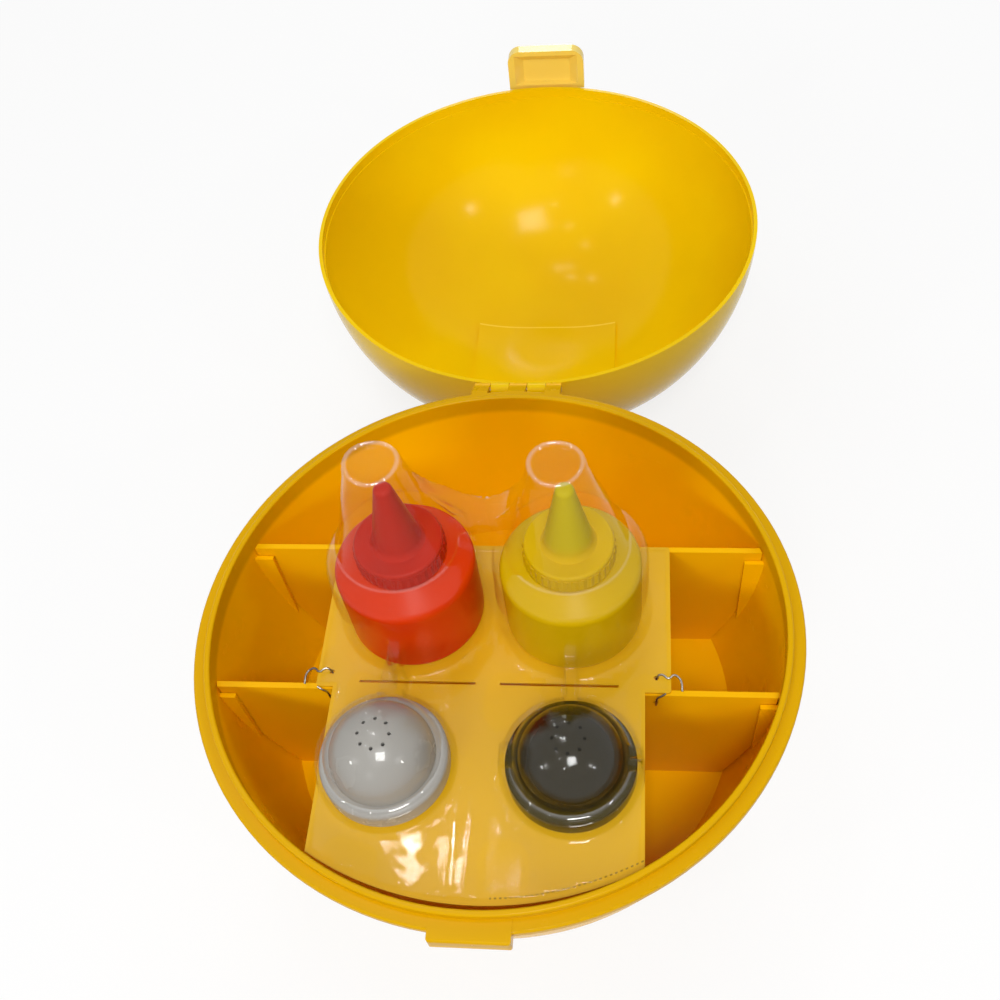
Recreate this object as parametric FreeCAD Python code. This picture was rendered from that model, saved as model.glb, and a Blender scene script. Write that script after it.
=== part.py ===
import FreeCAD, Part
import math
import os
from FreeCAD import Vector

os.makedirs("parts", exist_ok=True)

# Ball: two half shells that meet at the parting plane. Sizes in millimetres, origin under the
# centre of the base on the table, +Z up, +Y towards the hinge. The lid lies open on the table.
rim_radius = 127.0          # outside of the base ledge
parting_height = 126.0      # table to the ledge that the lid sits on
wall = 2.6                  # moulded wall of both shells
ledge_width = 5.3           # ledge outside the lip
ledge_thickness = 4.0
ledge_round = 1.0
lip_height = 4.0            # lip that stands inside the shut lid
lip_round = 0.9
lip_clearance = 0.3         # lip to lid, all round
seat_gap = 0.3              # ledge to lid rim when shut
lid_edge = 2.0              # lid wall beside the lip
foot_radius = 80.0          # outside of the foot at the table
floor_depth = 82.0          # parting plane down to the inside floor
floor_thickness = 3.0
crown_radius = 18.0         # flat on the lid's crown that it lies on when open
rebate_height = 5.5         # taller inner step of the lid rim, clear of the lip
pad_width = 88.0            # raised pad inside the lid, from past the crown towards the hinge
pad_length = 88.5
pad_start = -15.5           # crown to the pad edge
pad_height = 2.4
cut_overrun = 5.0           # how far a cutting body passes the face that it opens

# Hinge at the back: base lugs and lid barrels in turn along one pin
hinge_offset = 9.0          # rim to hinge axis
hinge_drop = 9.7            # parting plane down to the hinge axis
knuckle_radius = 3.5
outer_lug_width = 7.5
middle_lug_width = 8.5
barrel_width = 9.5
knuckle_gap = 0.3
hinge_pin_radius = 1.5
hinge_web = 4.0             # height of the web that carries a knuckle
pin_clearance = 0.05

# Clasp on the front of the lid and the catch under it
clasp_width = 47.0
clasp_reach = 22.0          # past the lid rim
clasp_thickness = 6.5
clasp_corner = 8.0
clasp_gap = 0.8             # rim to the clasp's inner face
clasp_pivot_rise = 8.0      # lid rim up to the clasp pin
clasp_barrel_width = 30.0
ear_width = 4.0
ear_radius = 3.6
ear_gap = 0.6
clasp_pin_radius = 1.25
recess_depth = 4.5
recess_border = 4.0
recess_end = 3.0
recess_slope = 5.0          # run of its sloped sides and end
recess_top = 3.0
catch_width = 30.5
catch_proud = 3.0
catch_height = 8.0
catch_rise = 0.3            # ledge up to the top of the catch
catch_round = 1.2

# Dividers across the bowl, held by pairs of ribs at their ends
divider_thickness = 2.5
rear_divider_y = 39.4
front_divider_y = -29.0
divider_drop = 4.5          # parting plane down to the divider tops
divider_clearance = 0.6     # divider end to the wall
rib_thickness = 2.0
rib_width = 7.5             # rim's inside to the rib's free edge
rib_drop = 10.0             # parting plane down to the rib tops
rib_clearance = 0.3

# Carrier card that lies on the dividers
card_thickness = 1.2
card_shoulder = 7.2         # rear part past the front part's left side, both sides alike
card_rear_overhang = 0.5    # past the rear divider's middle
card_front_half_width = 63.7
card_front_shift = -1.6
card_step_y = -29.5
card_front_gap = 3.3        # lip to the middle of the front edge
card_corner_gap = 1.3       # lip to the front corners
card_corner = 1.5
slit_width = 1.2
slit_length = 48.0
slit_middle_x = 29.0
slit_shift = -1.5
slit_offset = 2.0           # slits behind the divider's middle

# Squeeze bottles
bottle_spacing = 66.4
bottle_middle_x = -0.9
bottle_y = 8.3
bottle_radius = 28.3
bottle_side_height = 37.0
bottle_heel_round = 2.0
bottle_shoulder_round = 4.0
shoulder_rise = 6.0
neck_radius = 14.5
neck_height = 7.5
neck_clearance = 0.4
cap_radius = 18.2
cap_height = 9.0
cap_round = 1.2
cap_top_thickness = 1.7
cap_gap = 0.4               # cap to bottle, below the skirt and above the neck
knurl_depth = 0.6
knurl_count = 36
knurl_margin = 0.8
nozzle_base_radius = 11.0
nozzle_flare_radius = 9.2
nozzle_flare_height = 4.0
flare_share = 0.36          # middle of the hollow flare, up and out
nozzle_tip_radius = 3.3
nozzle_height = 34.0
nozzle_tip_round = 2.2
nozzle_bore_radius = 1.5
nozzle_tip_wall = 2.0       # closed end, cut off before first use

# Dome shakers
shaker_spacing = 72.2
shaker_middle_x = -2.1
shaker_y = -63.0
shaker_base_radius = 25.2
shaker_base_height = 10.0
shaker_base_round = 2.0
shaker_heel_round = 1.0
dome_radius = 20.6
dome_wall = 1.6
dome_gap = 0.3
spigot_height = 5.0
spigot_clearance = 0.3
shaker_hole_radius = 0.7
shaker_hole_ring = 6.0
shaker_hole_count = 8

# Clear formed cover over the bottles and shakers
film = 0.6
cover_inset = 1.5           # card edge to the cover's edge
cover_foot_radius = 32.6
cover_shoulder_radius = 31.2
cover_shoulder_height = 42.0
cover_neck_radius = 24.0
cover_neck_height = 51.0
cover_top_radius = 10.5
cover_height = 97.0
cover_round = 2.5
step_cover_radius = 26.9    # shaker cover beside the shaker base
step_cover_height = 11.3
dome_cover_radius = 22.4    # shaker cover above the step
dome_cover_height = 33.6
bridge_front = 4.0          # bottle axis back to the bridge between the bottle covers
bridge_width = 13.5
bridge_height = 58.0
channel_width = 6.0
channel_height = 26.0
ear_cover_reach = 29.0      # side ears of the pepper cover
ear_cover_width = 10.0
ear_cover_height = 10.5

# Wire ties that hold the card to the front divider
tie_radius = 0.45
tie_side_gap = 1.3          # card front part to the tie
tie_rear_offset = 6.0       # divider's middle back to the hole in the card
tie_front_offset = 3.8
tie_drop = 6.0              # divider top down to the tie's low run
tie_hole_radius = 1.0
tie_cover_hole_radius = 2.0
tie_rise = 1.4
tie_bend = 1.3
tie_tail_reach = 10.0
tie_tail_setback = 4.0
tie_tail_rise = 2.4
tie_end_reach = 4.0
tie_end_rise = 4.5

# Derived places
axis_z = Vector(0, 0, 1)
axis_x = Vector(1, 0, 0)
slant_share = math.sqrt(0.5)            # half way up a round arc, up and out
lip_outer = rim_radius - ledge_width
lip_inner = lip_outer - wall
floor_z = parting_height - floor_depth
lid_rim_z = parting_height + seat_gap
hinge_y = rim_radius + hinge_offset
hinge_z = parting_height - hinge_drop
lid_height = 2 * hinge_z - lid_rim_z    # the open lid's crown lies on the table
rebate_radius = lip_outer + lip_clearance
lid_radius = rebate_radius + lid_edge
divider_top = parting_height - divider_drop
card_top = divider_top + card_thickness
card_left = card_front_shift - card_front_half_width
card_right = card_front_shift + card_front_half_width
card_rear_half_width = card_shoulder - card_left
tie_x = tie_side_gap - card_left
clasp_inner_y = -rim_radius - clasp_gap
clasp_pivot_y = clasp_inner_y - clasp_thickness / 2
clasp_pivot_z = lid_rim_z + clasp_pivot_rise
bottle_xs = (bottle_middle_x - bottle_spacing / 2, bottle_middle_x + bottle_spacing / 2)
shaker_xs = (shaker_middle_x - shaker_spacing / 2, shaker_middle_x + shaker_spacing / 2)
cap_foot = card_top + bottle_side_height + shoulder_rise + cap_gap
cap_top = cap_foot + cap_height
dome_foot = card_top + shaker_base_height + dome_gap


def closed_wire(items, flat_at=None):
    # Items are corners (u, v), rounded corners (u, v, radius) or arcs ((mid u, mid v), (u, v)).
    # A profile stands in the XZ plane; a plan lies at the height flat_at.
    def place(u, v):
        return Vector(u, 0, v) if flat_at is None else Vector(u, v, flat_at)

    arcs = [isinstance(item[0], tuple) for item in items]
    corners = [place(*(item[1] if arc else item[:2])) for item, arc in zip(items, arcs)]
    arrive, bend, leave = [], [], []
    for i, item in enumerate(items):
        corner = corners[i]
        radius = item[2] if not arcs[i] and len(item) > 2 else 0
        if not radius:
            arrive.append(corner)
            bend.append(None)
            leave.append(corner)
            continue
        back = (corners[i - 1] - corner).normalize()
        ahead = (corners[(i + 1) % len(items)] - corner).normalize()
        half = back.getAngle(ahead) / 2
        centre = corner + (back + ahead).normalize() * (radius / math.sin(half))
        arrive.append(corner + back * (radius / math.tan(half)))
        bend.append(centre + (corner - centre).normalize() * radius)
        leave.append(corner + ahead * (radius / math.tan(half)))
    edges = []
    for i, item in enumerate(items):
        start = leave[i - 1]
        if arcs[i]:
            edges.append(Part.Arc(start, place(*item[0]), arrive[i]).toShape())
        elif not start.isEqual(arrive[i], Part.Precision.confusion()):
            edges.append(Part.LineSegment(start, arrive[i]).toShape())
        if bend[i]:
            edges.append(Part.Arc(arrive[i], bend[i], leave[i]).toShape())
    return Part.Wire(edges)


def outward(shape):
    if shape.Volume < 0:
        shape.reverse()
    return shape


def turned(items, x=0, y=0):
    # A profile revolved about a vertical axis at x, y.
    solid = outward(Part.Face(closed_wire(items)).revolve(Vector(), axis_z, 360))
    solid.translate(Vector(x, y, 0))
    return solid


def plate(items, low, high):
    return outward(Part.Face(closed_wire(items, low)).extrude(Vector(0, 0, high - low)))


def block(x0, x1, y0, y1, z0, z1):
    return Part.makeBox(x1 - x0, y1 - y0, z1 - z0, Vector(x0, y0, z0))


def rod(radius, x0, x1, y, z):
    return Part.makeCylinder(radius, x1 - x0, Vector(x0, y, z), axis_x)


def post(radius, x, y, z0, z1):
    return Part.makeCylinder(radius, z1 - z0, Vector(x, y, z0), axis_z)


def write(name, shape):
    solids = shape.Solids
    if not shape.isValid() or len(solids) != 1:
        print("check", name, shape.isValid(), len(solids))
    solids[0].exportStep("parts/" + name + ".step")
    print(name, round(solids[0].Volume), "mm3")


class ShellArc:
    # Circular wall profile, upright at the parting plane, that reaches the radius end at the depth.
    def __init__(self, rim, end, depth):
        self.centre = (rim * rim - end * end - depth * depth) / (2 * (rim - end))
        self.reach = rim - self.centre

    def at(self, drop, inset=0):
        reach = self.reach - inset
        return self.centre + math.sqrt(reach * reach - drop * drop)


base_arc = ShellArc(lip_outer, foot_radius, parting_height)
lid_arc = ShellArc(lid_radius, crown_radius, lid_height)


def base_radius(z, inset=0):
    return base_arc.at(parting_height - z, inset)


def base_curve(z0, z1, inset=0):
    middle = (z0 + z1) / 2
    return ((base_radius(middle, inset), middle), (base_radius(z1, inset), z1))


def bowl_filling(inset):
    # Solid of the bowl's inside, its side the inset away from the outer wall.
    return turned([
        (0, floor_z),
        (base_radius(floor_z, inset), floor_z),
        base_curve(floor_z, parting_height, inset),
        (0, parting_height),
    ])


def knuckle(x0, x1, outline):
    # A barrel on the hinge axis and the web that carries it, its outline given in Y and Z.
    corners = [Vector(x0, y, z) for y, z in outline]
    web = outward(Part.Face(Part.makePolygon(corners + corners[:1])).extrude(Vector(x1 - x0, 0, 0)))
    return rod(knuckle_radius, x0, x1, hinge_y, hinge_z).fuse(web)


def hinge_spans():
    half_middle = middle_lug_width / 2
    inner = half_middle + barrel_width
    outer = inner + outer_lug_width
    lugs = [(-outer, -inner), (-half_middle, half_middle), (inner, outer)]
    barrels = [(-inner, -half_middle), (half_middle, inner)]
    return lugs, [(x0 + knuckle_gap, x1 - knuckle_gap) for x0, x1 in barrels]


def opened(shape):
    shape.rotate(Vector(0, hinge_y, hinge_z), axis_x, -180)
    return shape


# Base bowl with its ledge, lip, foot skirt, ribs, catch and hinge lugs
lugs, barrels = hinge_spans()
ledge_low = parting_height - ledge_thickness
floor_low = floor_z - floor_thickness
lip_top = parting_height + lip_height
bowl = turned([
    (base_radius(0), 0),
    base_curve(0, ledge_low),
    (rim_radius, ledge_low, ledge_round),
    (rim_radius, parting_height, ledge_round),
    (lip_outer, parting_height),
    (lip_outer, lip_top, lip_round),
    (lip_inner, lip_top, lip_round),
    (lip_inner, parting_height),
    base_curve(parting_height, floor_z, wall),
    (0, floor_z),
    (0, floor_low),
    (base_radius(floor_low, wall), floor_low),
    base_curve(floor_low, 0, wall),
])
rib_limit = bowl_filling(wall / 2)
ribs = []
for divider_y in (rear_divider_y, front_divider_y):
    rib_offset = divider_thickness / 2 + rib_clearance
    for side in (-1, 1):
        face = divider_y + side * rib_offset
        y0, y1 = sorted((face, face + side * rib_thickness))
        edge = math.sqrt(lip_inner ** 2 - divider_y ** 2) - rib_width
        for x0, x1 in ((-rim_radius, -edge), (edge, rim_radius)):
            rib = block(x0, x1, y0, y1, floor_z, parting_height - rib_drop)
            ribs.append(rib.common(rib_limit))
catch_top = parting_height + catch_rise
catch = block(-catch_width / 2, catch_width / 2, -rim_radius - catch_proud, -lip_outer + wall / 2,
              catch_top - catch_height, catch_top)
catch_edges = [e for e in catch.Edges if e.BoundBox.YMax < -rim_radius - catch_proud + catch_round]
catch = catch.makeFillet(catch_round, catch_edges)
base = bowl.multiFuse(ribs + [catch])
lug_root = lip_inner - rib_width
lug_web = [
    (lug_root, parting_height),
    (rim_radius, parting_height),
    (hinge_y, hinge_z + knuckle_radius),
    (hinge_y, hinge_z - knuckle_radius),
    (lug_root, hinge_z - knuckle_radius),
]
for x0, x1 in lugs:
    base = base.fuse(knuckle(x0, x1, lug_web).cut(rib_limit))
pin_end = lugs[-1][1]
hinge_bore = rod(hinge_pin_radius + pin_clearance, -pin_end, pin_end, hinge_y, hinge_z)
write("base_bowl", base.cut(hinge_bore))

# Dividers follow the bowl's inside and stand on its floor
tie_low_z = divider_top - tie_drop
divider_limit = bowl_filling(wall + divider_clearance)
for name, divider_y in (("rear_divider", rear_divider_y), ("front_divider", front_divider_y)):
    half = divider_thickness / 2
    divider = divider_limit.common(block(-rim_radius, rim_radius, divider_y - half, divider_y + half,
                                         floor_z, divider_top))
    if divider_y == front_divider_y:
        for x in (-tie_x, tie_x):
            hole = Part.makeCylinder(tie_hole_radius, divider_thickness + 2 * cut_overrun,
                                     Vector(x, divider_y - half - cut_overrun, tie_low_z), Vector(0, 1, 0))
            divider = divider.cut(hole)
    write(name, divider)


# Lid shell with its rebated rim, crown flat, inner pad, hinge barrels and clasp ears, drawn shut
crown_z = lid_rim_z + lid_height


def lid_inside(inset):
    # Solid of the lid's hollow, its skin the inset further in than the inner wall.
    skin = wall + inset
    top = lid_height - skin
    middle = top / 2
    return turned([
        (0, lid_rim_z),
        (lid_arc.at(0, skin), lid_rim_z),
        ((lid_arc.at(middle, skin), lid_rim_z + middle), (lid_arc.at(top, skin), lid_rim_z + top)),
        (0, lid_rim_z + top),
    ])


lid_outside = turned([
    (0, lid_rim_z),
    (lid_radius, lid_rim_z),
    ((lid_arc.at(lid_height / 2), lid_rim_z + lid_height / 2), (crown_radius, crown_z)),
    (0, crown_z),
])
lid_body = lid_outside.cut(lid_inside(0))
lid_body = lid_body.cut(post(rebate_radius, 0, 0, lid_rim_z - cut_overrun, lid_rim_z + rebate_height))
pad_zone = block(-pad_width / 2, pad_width / 2, pad_start, pad_start + pad_length,
                 lid_rim_z + rebate_height, crown_z)
pad_shell = lid_inside(-wall / 2).cut(lid_inside(pad_height))
lid_body = lid_body.fuse(pad_shell.common(pad_zone))
barrel_web = [
    (lip_outer, lid_rim_z),
    (rim_radius + ledge_round, lid_rim_z),
    (hinge_y - knuckle_radius, hinge_z),
    (hinge_y, hinge_z),
    (hinge_y + knuckle_radius, hinge_z),
    (hinge_y, lid_rim_z + hinge_web),
    (lip_outer, lid_rim_z + hinge_web),
]
for x0, x1 in barrels:
    barrel = knuckle(x0, x1, barrel_web)
    lid_body = lid_body.fuse(barrel.cut(post(lid_radius - lid_edge / 2, 0, 0, 0, crown_z)))
ear_inner = clasp_barrel_width / 2 + ear_gap / 2
for side in (-1, 1):
    x0, x1 = sorted((side * ear_inner, side * (ear_inner + ear_width)))
    ear = rod(ear_radius, x0, x1, clasp_pivot_y, clasp_pivot_z)
    ear = ear.fuse(block(x0, x1, clasp_pivot_y, -lid_radius + wall, clasp_pivot_z - ear_radius,
                         clasp_pivot_z + ear_radius))
    lid_body = lid_body.fuse(ear.cut(lid_inside(-wall / 2)))
lid_body = lid_body.cut(hinge_bore)
ear_outer = ear_inner + ear_width
clasp_bore = rod(clasp_pin_radius + pin_clearance, -ear_outer, ear_outer, clasp_pivot_y, clasp_pivot_z)
write("lid_shell", opened(lid_body.cut(clasp_bore)))

# Pins
pin_span = rod(hinge_pin_radius, -pin_end, pin_end, hinge_y, hinge_z)
write("hinge_pin", pin_span)
write("clasp_pin", opened(rod(clasp_pin_radius, -ear_outer, ear_outer, clasp_pivot_y, clasp_pivot_z)))

# Clasp: plate with a hollow inner face that takes the catch, hung on a barrel between the ears
clasp_free = lid_rim_z - clasp_reach
clasp_head = clasp_pivot_z - ear_radius - ear_gap
clasp_outer_y = clasp_inner_y - clasp_thickness
clasp_half = clasp_width / 2
clasp_face = Part.Face(closed_wire([
    (-clasp_half, clasp_free, clasp_corner),
    (clasp_half, clasp_free, clasp_corner),
    (clasp_half, clasp_head),
    (-clasp_half, clasp_head),
]))
clasp = outward(clasp_face.extrude(Vector(0, -clasp_thickness, 0)))
clasp.translate(Vector(0, clasp_inner_y, 0))
barrel_half = clasp_barrel_width / 2
clasp = clasp.fuse(block(-barrel_half, barrel_half, clasp_outer_y, clasp_inner_y, clasp_head, clasp_pivot_z))
clasp = clasp.fuse(rod(clasp_thickness / 2, -barrel_half, barrel_half, clasp_pivot_y, clasp_pivot_z))


def recess_section(y, slope):
    # Outline of the clasp's hollow at the depth y, its sides and free end drawn in by the slope.
    half = clasp_half - recess_border - slope
    low = clasp_free + recess_end + slope
    high = clasp_head - recess_top
    corners = [Vector(x, y, z) for x, z in ((-half, low), (half, low), (half, high), (-half, high))]
    return Part.makePolygon(corners + corners[:1])


recess = outward(Part.makeLoft([recess_section(clasp_inner_y, 0),
                                recess_section(clasp_inner_y - recess_depth, recess_slope)], True, True))
write("clasp", opened(clasp.cut(recess).cut(clasp_bore)))


def card_outline(inset):
    # Rear part over both dividers, narrower front part with a bowed front edge.
    rear_y = rear_divider_y + card_rear_overhang - inset
    wide = card_rear_half_width - inset
    left = card_left + inset
    right = card_right - inset
    step_y = card_step_y + inset
    reach = lip_inner - card_front_gap - inset
    corner_reach = lip_inner - card_corner_gap - inset
    left_end = -math.sqrt(corner_reach ** 2 - left ** 2)
    right_end = -math.sqrt(corner_reach ** 2 - right ** 2)
    return [
        (left, step_y),
        (-wide, step_y, card_corner),
        (-wide, rear_y, card_corner),
        (wide, rear_y, card_corner),
        (wide, step_y, card_corner),
        (right, step_y),
        (right, right_end),
        ((0, -reach), (left, left_end)),
    ]


# Carrier card with two slits along the front divider and a hole for each tie
card = plate(card_outline(0), divider_top, card_top)
slit_y = front_divider_y + slit_offset
for x in (slit_shift - slit_middle_x, slit_shift + slit_middle_x):
    card = card.cut(block(x - slit_length / 2, x + slit_length / 2, slit_y - slit_width / 2,
                          slit_y + slit_width / 2, divider_top - cut_overrun, card_top + cut_overrun))
tie_rear_y = front_divider_y + tie_rear_offset
for x in (-tie_x, tie_x):
    card = card.cut(post(tie_hole_radius, x, tie_rear_y, divider_top - cut_overrun, card_top + cut_overrun))
write("carrier_card", card)


def bottle(x):
    shoulder = card_top + bottle_side_height
    neck_foot = shoulder + shoulder_rise
    neck_top = neck_foot + neck_height
    return turned([
        (0, card_top),
        (bottle_radius, card_top, bottle_heel_round),
        (bottle_radius, shoulder, bottle_shoulder_round),
        (cap_radius, neck_foot),
        (neck_radius, neck_foot),
        (neck_radius, neck_top),
        (0, neck_top),
    ], x, bottle_y)


def knurled_ring(x):
    points = []
    for i in range(2 * knurl_count):
        angle = math.pi * i / knurl_count
        radius = cap_radius - knurl_depth * (i % 2)
        points.append((radius * math.cos(angle), radius * math.sin(angle)))
    ring = plate(points, cap_foot + knurl_margin, cap_top - knurl_margin - cap_round)
    ring.translate(Vector(x, bottle_y, 0))
    return ring


def cap(x):
    bore_foot = cap_top - cap_top_thickness
    inside = neck_radius + neck_clearance
    tip = cap_top + nozzle_height
    skirt = cap_radius - knurl_depth
    body = turned([
        (0, cap_foot),
        (skirt, cap_foot),
        (skirt, cap_top, cap_round),
        (nozzle_base_radius, cap_top),
        ((nozzle_flare_radius + (nozzle_base_radius - nozzle_flare_radius) * flare_share,
          cap_top + nozzle_flare_height * flare_share), (nozzle_flare_radius, cap_top + nozzle_flare_height)),
        (nozzle_tip_radius, tip, nozzle_tip_round),
        (0, tip),
    ], x, bottle_y)
    body = body.fuse(knurled_ring(x))
    body = body.cut(post(inside, x, bottle_y, cap_foot - cut_overrun, bore_foot))
    return body.cut(post(nozzle_bore_radius, x, bottle_y, cap_foot, tip - nozzle_tip_wall))


# Bottles and their screw caps with pouring nozzles
for name, x in zip(("ketchup", "mustard"), bottle_xs):
    write(name + "_bottle", bottle(x))
    write(name + "_cap", cap(x))


def shaker_base(x):
    flange = card_top + shaker_base_height
    dome_inner = dome_radius - dome_wall
    spigot = math.sqrt(dome_inner ** 2 - spigot_height ** 2) - spigot_clearance
    return turned([
        (0, card_top),
        (shaker_base_radius, card_top, shaker_heel_round),
        (shaker_base_radius, flange, shaker_base_round),
        (spigot, flange),
        (spigot, flange + spigot_height),
        (0, flange + spigot_height),
    ], x, shaker_y)


def shaker_dome(x):
    inner = dome_radius - dome_wall
    dome = turned([
        (inner, dome_foot),
        (dome_radius, dome_foot),
        ((dome_radius * slant_share, dome_foot + dome_radius * slant_share), (0, dome_foot + dome_radius)),
        (0, dome_foot + inner),
        ((inner * slant_share, dome_foot + inner * slant_share), (inner, dome_foot)),
    ], x, shaker_y)
    for i in range(shaker_hole_count):
        angle = 2 * math.pi * i / shaker_hole_count
        hole_x = x + shaker_hole_ring * math.cos(angle)
        hole_y = shaker_y + shaker_hole_ring * math.sin(angle)
        dome = dome.cut(post(shaker_hole_radius, hole_x, hole_y, dome_foot, dome_foot + 2 * dome_radius))
    return dome


# Shakers: a weighted base and a pierced dome
for name, x in zip(("salt", "pepper"), shaker_xs):
    write(name + "_base", shaker_base(x))
    write(name + "_dome", shaker_dome(x))


def cover_forms(inset, foot):
    # Blown forms of the cover, each side the inset smaller, standing on the height foot.
    top = card_top - inset
    forms = []
    for x in bottle_xs:
        forms.append(turned([
            (0, foot),
            (cover_foot_radius - inset, foot),
            (cover_shoulder_radius - inset, top + cover_shoulder_height, cover_round),
            (cover_neck_radius - inset, top + cover_neck_height, cover_round),
            (cover_top_radius - inset, top + cover_height, cover_round),
            (0, top + cover_height),
        ], x, bottle_y))
    crown = dome_cover_height - step_cover_height
    for x in shaker_xs:
        radius = dome_cover_radius - inset
        step = step_cover_radius - inset
        spring = top + step_cover_height
        forms.append(turned([
            (0, foot),
            (step, foot),
            (step, spring),
            (radius, spring),
            ((radius * slant_share, spring + crown * slant_share), (0, spring + crown)),
        ], x, shaker_y))
        half = channel_width / 2 - inset
        forms.append(block(x - half, x + half, shaker_y, bottle_y, foot, top + channel_height))
    bridge_y = bottle_y + bridge_front
    forms.append(block(bottle_xs[0], bottle_xs[1], bridge_y + inset, bridge_y + bridge_width - inset,
                       foot, top + bridge_height))
    ear_half = ear_cover_width / 2 - inset
    ear_reach = ear_cover_reach - inset
    forms.append(block(shaker_xs[1] - ear_reach, shaker_xs[1] + ear_reach, shaker_y - ear_half,
                       shaker_y + ear_half, foot, top + ear_cover_height))
    return forms


# Clear cover: a flat flange on the card with hollow forms over what it holds
flange = plate(card_outline(cover_inset), card_top, card_top + film)
for x in (-tie_x, tie_x):
    flange = flange.cut(post(tie_cover_hole_radius, x, tie_rear_y,
                             card_top - cut_overrun, card_top + cut_overrun))
cover = flange.multiFuse(cover_forms(0, card_top))
hollow_forms = cover_forms(film, card_top - cut_overrun)
hollow = hollow_forms[0].multiFuse(hollow_forms[1:])
write("clear_cover", cover.cut(hollow))


def rounded_path(points, bend):
    edges = []
    start = points[0]
    for i in range(1, len(points) - 1):
        back = (points[i - 1] - points[i]).normalize()
        ahead = (points[i + 1] - points[i]).normalize()
        half = back.getAngle(ahead) / 2
        into = points[i] + back * (bend / math.tan(half))
        out = points[i] + ahead * (bend / math.tan(half))
        centre = points[i] + (back + ahead).normalize() * (bend / math.sin(half))
        middle = centre + (points[i] - centre).normalize() * bend
        edges.append(Part.LineSegment(start, into).toShape())
        edges.append(Part.Arc(into, middle, out).toShape())
        start = out
    edges.append(Part.LineSegment(start, points[-1]).toShape())
    return Part.Wire(edges)


def wire_tie(side):
    # Down through the card, through the front divider and up past the card's front part.
    x = side * tie_x
    rear_y = front_divider_y + tie_rear_offset
    front_y = front_divider_y - tie_front_offset
    high = card_top + tie_rise
    points = [
        Vector(x + side * tie_tail_reach, rear_y - tie_tail_setback, high + tie_tail_rise),
        Vector(x, rear_y, high),
        Vector(x, rear_y, tie_low_z),
        Vector(x, front_y, tie_low_z),
        Vector(x, front_y, high),
        Vector(x + side * tie_end_reach, front_y, high + tie_end_rise),
    ]
    path = rounded_path(points, tie_bend)
    section = Part.Wire(Part.makeCircle(tie_radius, points[0], points[1] - points[0]))
    return path.makePipeShell([section], True, False)


# Wire ties, one each side
write("left_tie", wire_tie(-1))
write("right_tie", wire_tie(1))
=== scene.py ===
import math

import bmesh
import bpy
import numpy as np
from mathutils import Matrix, Vector
from mathutils.geometry import delaunay_2d_cdt


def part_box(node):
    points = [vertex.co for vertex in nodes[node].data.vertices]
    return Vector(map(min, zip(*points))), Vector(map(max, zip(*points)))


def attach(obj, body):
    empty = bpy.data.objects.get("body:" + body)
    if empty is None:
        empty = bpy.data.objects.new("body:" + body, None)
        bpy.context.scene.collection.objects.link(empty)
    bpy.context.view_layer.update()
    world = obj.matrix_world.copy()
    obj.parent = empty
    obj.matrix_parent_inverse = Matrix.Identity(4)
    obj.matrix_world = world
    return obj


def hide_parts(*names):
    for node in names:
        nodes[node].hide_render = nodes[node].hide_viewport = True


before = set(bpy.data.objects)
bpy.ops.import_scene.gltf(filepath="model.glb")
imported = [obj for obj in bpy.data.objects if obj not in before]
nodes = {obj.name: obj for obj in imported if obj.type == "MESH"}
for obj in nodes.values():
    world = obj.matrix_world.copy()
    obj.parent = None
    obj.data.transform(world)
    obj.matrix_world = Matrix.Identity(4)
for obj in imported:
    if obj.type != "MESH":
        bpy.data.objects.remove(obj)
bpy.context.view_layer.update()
scene = bpy.context.scene
print("caddy: frame loaded,", len(nodes), "nodes")


class Signal:
    # One shader socket; sums on it add Math nodes to its tree.
    def __init__(self, tree, socket=None):
        self.tree = tree
        self.socket = socket

    def node(self, kind, settings=None, sockets=None, out=0):
        # any node: its settings first, then the values or links of its sockets
        made = self.tree.nodes.new(kind)
        for name, value in (settings or {}).items():
            setattr(made, name, value)
        for name, value in (sockets or {}).items():
            if isinstance(value, Signal):
                self.tree.links.new(value.socket, made.inputs[name])
            else:
                made.inputs[name].default_value = value
        return Signal(self.tree, made.outputs[out] if made.outputs else None)

    def sum(self, operation, *values):
        return self.node("ShaderNodeMath", {"operation": operation}, dict(enumerate(values)))

    def __add__(self, other):
        return self.sum("ADD", self, other)

    def __radd__(self, other):
        return self.sum("ADD", other, self)

    def __sub__(self, other):
        return self.sum("SUBTRACT", self, other)

    def __rsub__(self, other):
        return self.sum("SUBTRACT", other, self)

    def __mul__(self, other):
        return self.sum("MULTIPLY", self, other)

    def __rmul__(self, other):
        return self.sum("MULTIPLY", other, self)

    def __pow__(self, other):
        return self.sum("POWER", self, other)

    def __rpow__(self, other):
        return self.sum("POWER", other, self)

    def size(self):
        return self.sum("ABSOLUTE", self)

    def above(self, edge):
        return self.sum("GREATER_THAN", self, edge)

    def within(self, low, high, toLow=0.0, toHigh=1.0):
        # eased step from toLow at low to toHigh at high
        sockets = {"Value": self, "From Min": low, "From Max": high,
                   "To Min": toLow, "To Max": toHigh}
        return self.node("ShaderNodeMapRange", {"interpolation_type": "SMOOTHSTEP"}, sockets)

    def tint(self, first, second):
        # colour from first to second as this value goes from 0 to 1
        sockets = {0: self, 6: first, 7: second}
        return self.node("ShaderNodeMix", {"data_type": "RGBA"}, sockets, 2)


def newGraph(name):
    material = bpy.data.materials.new(name)
    material.use_nodes = True
    material.node_tree.nodes.clear()
    return material, Signal(material.node_tree)


def objectPoint(graph):
    return graph.node("ShaderNodeTexCoord", out=3)


def axes(graph, point):
    # the point's x, y and z
    split = graph.node("ShaderNodeSeparateXYZ", {}, {"Vector": point}).socket.node
    return [Signal(graph.tree, way) for way in split.outputs]


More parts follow.
